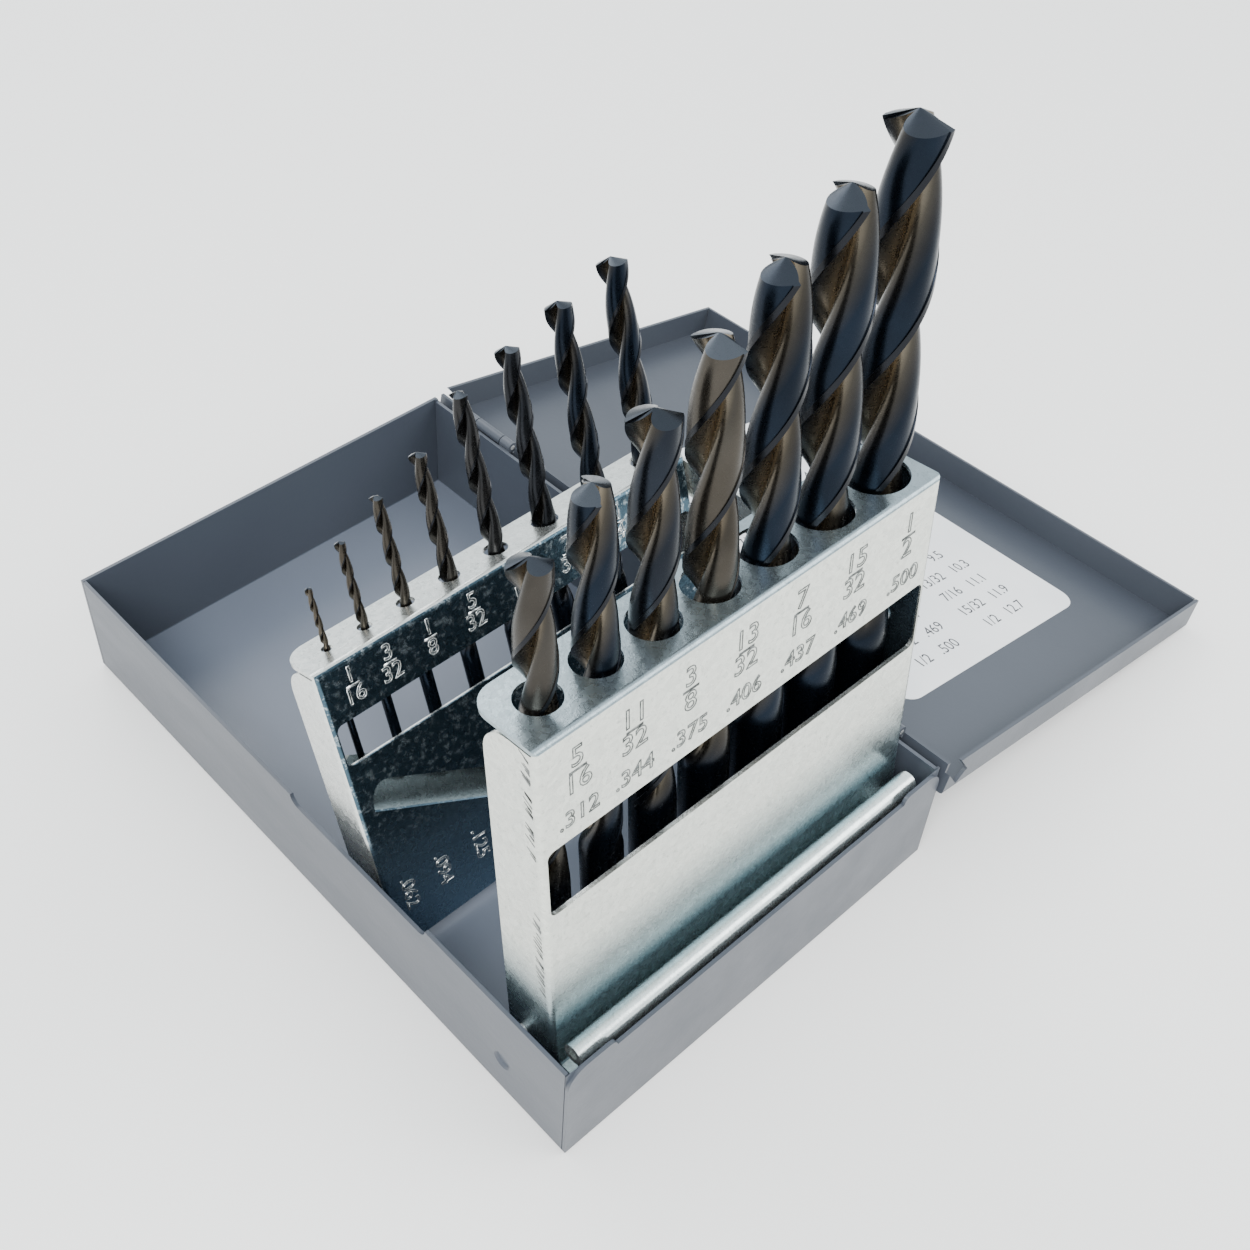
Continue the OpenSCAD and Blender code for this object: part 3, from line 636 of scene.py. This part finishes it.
def textPoints(words, size, tube=None):
    # the figures, centred, in millimetres, as vertices and faces: round tubes along their outline, or flat
    curve = bpy.data.curves.new("figures", "FONT")
    curve.body = words
    curve.size = size
    curve.align_x = "CENTER"
    curve.align_y = "CENTER"
    curve.resolution_u = stampSet["curveSteps"]
    if tube:
        curve.fill_mode = "NONE"
        curve.bevel_depth = tube
        curve.bevel_resolution = stampSet["tubeSteps"]
    holder = bpy.data.objects.new("figures", curve)
    bpy.context.scene.collection.objects.link(holder)
    bpy.context.view_layer.update()
    mesh = bpy.data.meshes.new_from_object(holder)
    verts = np.empty(len(mesh.vertices) * 3)
    mesh.vertices.foreach_get("co", verts)
    faces = [tuple(p.vertices) for p in mesh.polygons]
    bpy.data.objects.remove(holder)
    bpy.data.meshes.remove(mesh)
    bpy.data.curves.remove(curve)
    return verts.reshape(-1, 3), faces


def barPoints(width, thick):
    # the bar of a fraction: a flat box about its own middle, half a tube up and down
    w, h, d = width / 2, thick / 2, stampSet["tube"] / 2
    verts = np.array([(x, y, z) for z in (-d, d) for x, y in ((-w, -h), (w, -h), (w, h), (-w, h))])
    faces = [(0, 3, 2, 1), (4, 5, 6, 7), (0, 1, 5, 4), (1, 2, 6, 5), (2, 3, 7, 6), (3, 0, 4, 7)]
    return verts, faces


def shifted(part, x, y):
    return part[0] + np.array([x, y, 0.0]), part[1]


def rackFigures(name, rack, finish, look):
    # under each hole a fraction, its top and bottom equally far from its bar, and under it the decimal
    parts = []
    tube, size = stampSet["tube"], look["size"]
    gap = size * stampSet["spread"]
    for i in range(rack["count"]):
        top, bottom, decimal = fractionWords(i + rack["firstSize"])
        x = holeX(rack, i)
        parts.append(shifted(textPoints(top, size, tube), x, look["up"] + gap))
        parts.append(shifted(barPoints(size * stampSet["barWide"], stampSet["barThick"]), x, look["up"]))
        parts.append(shifted(textPoints(bottom, size, tube), x, look["up"] - gap))
        if i < look["decimals"]:
            verts, faces = textPoints(decimal, look["decimalSize"], tube)
            if look["turned"]:
                verts = np.stack([verts[:, 1] - look["aside"], -verts[:, 0], verts[:, 2]], -1)
            parts.append(shifted((verts, faces), x, look["decimalUp"]))
    verts, faces = gather(parts)
    place = rackPoint(rack, verts[:, 0], stampSet["lift"] - verts[:, 2], verts[:, 1])
    figures = addMesh(name, place, faces)
    figures.data.materials.append(finish)
    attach(figures, rack["body"])


rackFigures("frontStamps", frontRack, grooveShadeAndMarks, frontStamps)
rackFigures("backStamps", backRack, stamped, backStamps)
print("figures stamped")

# tool marks along the front rack's left upright bend: short slanted strokes, in two runs

markSet = {
    "count": 60, "runs": ((80.0, 105.0), (40.0, 64.0)), "long": (0.9, 2.4), "wide": 0.26, "slant": 0.75,
    "lift": 0.015, "in": 1.35, "inSpread": 0.3, "seed": 7,
}


def bendMarks():
    # each stroke is a flat strip on the side sheet that starts beside the bend and rises towards the back
    m = markSet
    pick = np.random.default_rng(m["seed"])
    ups = np.concatenate([pick.uniform(low, high, m["count"] // 2) for low, high in m["runs"]])
    long = pick.uniform(*m["long"], len(ups))
    near = m["in"] + pick.uniform(0, m["inSpread"], len(ups))
    back = np.stack([near, near + long, near + long, near], -1)
    climb = long * m["slant"]
    rise = np.stack([0 * long, climb, climb + m["wide"], m["wide"] * 2 + 0 * long], -1)
    place = rackPoint(frontRack, -m["lift"], back, ups[:, None] + rise)
    faces = np.arange(4 * len(ups)).reshape(-1, 4).tolist()
    marks = addMesh("bendMarks", place, faces, smooth=False)
    marks.data.materials.append(grooveShadeAndMarks)
    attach(marks, "front_rack")


bendMarks()
print("bend marked")

# label inside the lid: a plain size chart

labelSet = {
    "out": 19.0, "along": 22.0, "width": 78.5, "length": 110.0, "corner": 5.0, "cornerSteps": 8, "lift": 0.1,
    "figure": 4.6, "inkLift": 0.02, "margin": 8.0, "rows": 15, "pitch": 6.6, "rowShift": 0.2,
    "column": 31.0, "columnShift": 0.5, "gap": "   ",
}


def labelOutline():
    # a rectangle with round corners: a quarter circle about each corner's centre, one corner after the other
    s = labelSet
    angles = np.linspace(0, math.pi / 2, s["cornerSteps"])
    points = []
    for turn, cx, cy in ((0, 1, 1), (1, 0, 1), (2, 0, 0), (3, 1, 0)):
        a = angles + turn * math.pi / 2
        x = s["out"] + (s["width"] - s["corner"] if cx else s["corner"]) + s["corner"] * np.cos(a)
        y = s["along"] + (s["length"] - s["corner"] if cy else s["corner"]) + s["corner"] * np.sin(a)
        points.append(np.stack([x, y], -1))
    return np.concatenate(points)


def labelPaper():
    # two copies of the outline, one over the other, closed by a ring of narrow faces
    outline = labelOutline()
    count = len(outline)
    bottom, top = (lidPoint(outline[:, 0], outline[:, 1], lidFloor + up) for up in (0, labelSet["lift"]))
    ring = [(k, (k + 1) % count, count + (k + 1) % count, count + k) for k in range(count)]
    faces = [tuple(range(count, 2 * count)), tuple(range(count - 1, -1, -1))] + ring
    sheet = addMesh("lidLabel", np.concatenate([bottom, top]), faces, smooth=False)
    sheet.data.materials.append(paper)
    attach(sheet, "lid")


def labelChart():
    # rows of plain drill sizes, read from the front of the case, each fraction with its decimal in the first
    # column and with its millimetres in the second
    s = labelSet
    parts = []
    for column in range(2):
        for row in range(s["rows"]):
            top, bottom, decimal = fractionWords(row)
            other = decimal if column == 0 else "%.1f" % drillSize(row)
            across = s["margin"] + s["column"] * (column + s["columnShift"])
            along = s["length"] - s["margin"] - s["pitch"] * (row + s["rowShift"])
            words = top + "/" + bottom + s["gap"] + other
            parts.append(shifted(textPoints(words, s["figure"]), across, along))
    verts, faces = gather(parts)
    place = lidPoint(s["out"] + verts[:, 0], s["along"] + verts[:, 1], lidFloor + s["lift"] + s["inkLift"])
    chart = addMesh("labelFigures", place, faces, smooth=False)
    chart.data.materials.append(ink)
    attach(chart, "lid")


labelPaper()
labelChart()
print("label placed")

# floor and light; a light is its place, size and power

stageSet = {
    "floor": (0.98, 0.96, 0.93), "floorRough": 0.6, "half": 6.0, "sky": (0.88, 0.95, 1.0), "skyPower": 1.7,
    "target": (0, 0, 0.05),
    "lights": {
        "keyLight": ((-0.9, -0.6, 1.3), 0.8, 26.0),
        "fillLight": ((0.9, -0.9, 0.9), 1.0, 9.0),
        "backLight": ((0.3, 1.2, 1.1), 1.0, 8.0),
    },
}


def lookAngles(direction, roll):
    # rotation whose -Z axis runs along direction, with +Y up and then turned by roll about the view axis
    turn = Vector(tuple(direction)).to_track_quat("-Z", "Y").to_matrix()
    return (turn @ Matrix.Rotation(roll, 3, "Z")).to_euler()


def stageFloor():
    h = stageSet["half"]
    corners = ((-h, -h, 0), (h, -h, 0), (h, h, 0), (-h, h, 0))
    floor = addMesh("floor", corners, [(0, 1, 2, 3)], smooth=False)
    material, tree, shader = newMaterial("paleFloor")
    shader.inputs["Base Color"].default_value = (*stageSet["floor"], 1)
    shader.inputs["Roughness"].default_value = stageSet["floorRough"]
    floor.data.materials.append(material)


def stageSky():
    world = bpy.data.worlds.new("studio")
    world.use_nodes = True
    background = world.node_tree.nodes["Background"]
    background.inputs["Color"].default_value = (*stageSet["sky"], 1)
    background.inputs["Strength"].default_value = stageSet["skyPower"]
    bpy.context.scene.world = world


def areaLight(name, place, size, power):
    light = bpy.data.lights.new(name, "AREA")
    light.shape = "DISK"
    light.size = size
    light.energy = power
    lamp = bpy.data.objects.new(name, light)
    lamp.location = place
    lamp.rotation_euler = lookAngles(np.array(stageSet["target"]) - np.array(place), 0.0)
    bpy.context.scene.collection.objects.link(lamp)


stageFloor()
stageSky()
for name, values in stageSet["lights"].items():
    areaLight(name, *values)
print("stage lit")

# camera, solved from the photograph's corners, holes and drill tips: place in millimetres from the tray's
# corner, angles in radians, and focal length, centre and frame in pixels

cameraSet = {
    "place": (-102.56, -100.43, 302.16), "azimuth": 0.7401, "elevation": 0.7883, "roll": 0.0163,
    "focal": 1550.06, "centreX": 534.33, "centreY": 606.48, "frame": 1250.0, "sensor": 36.0,
    "near": 0.01, "far": 30,
}


def placeCamera():
    # the centre's distance from the middle of the frame, as a share of the frame, is the lens's shift
    c = cameraSet
    camera = bpy.data.cameras.new("camera")
    camera.sensor_width = c["sensor"]
    camera.lens = c["focal"] / c["frame"] * c["sensor"]
    camera.shift_x = (c["frame"] / 2 - c["centreX"]) / c["frame"]
    camera.shift_y = (c["centreY"] - c["frame"] / 2) / c["frame"]
    camera.clip_start, camera.clip_end = c["near"], c["far"]
    holder = bpy.data.objects.new("camera", camera)
    bpy.context.scene.collection.objects.link(holder)
    holder.location = casePoint(*c["place"])
    level = math.cos(c["elevation"])
    ahead = (math.sin(c["azimuth"]) * level, math.cos(c["azimuth"]) * level, -math.sin(c["elevation"]))
    holder.rotation_euler = lookAngles(ahead, c["roll"])
    bpy.context.scene.camera = holder


placeCamera()
print("camera set")
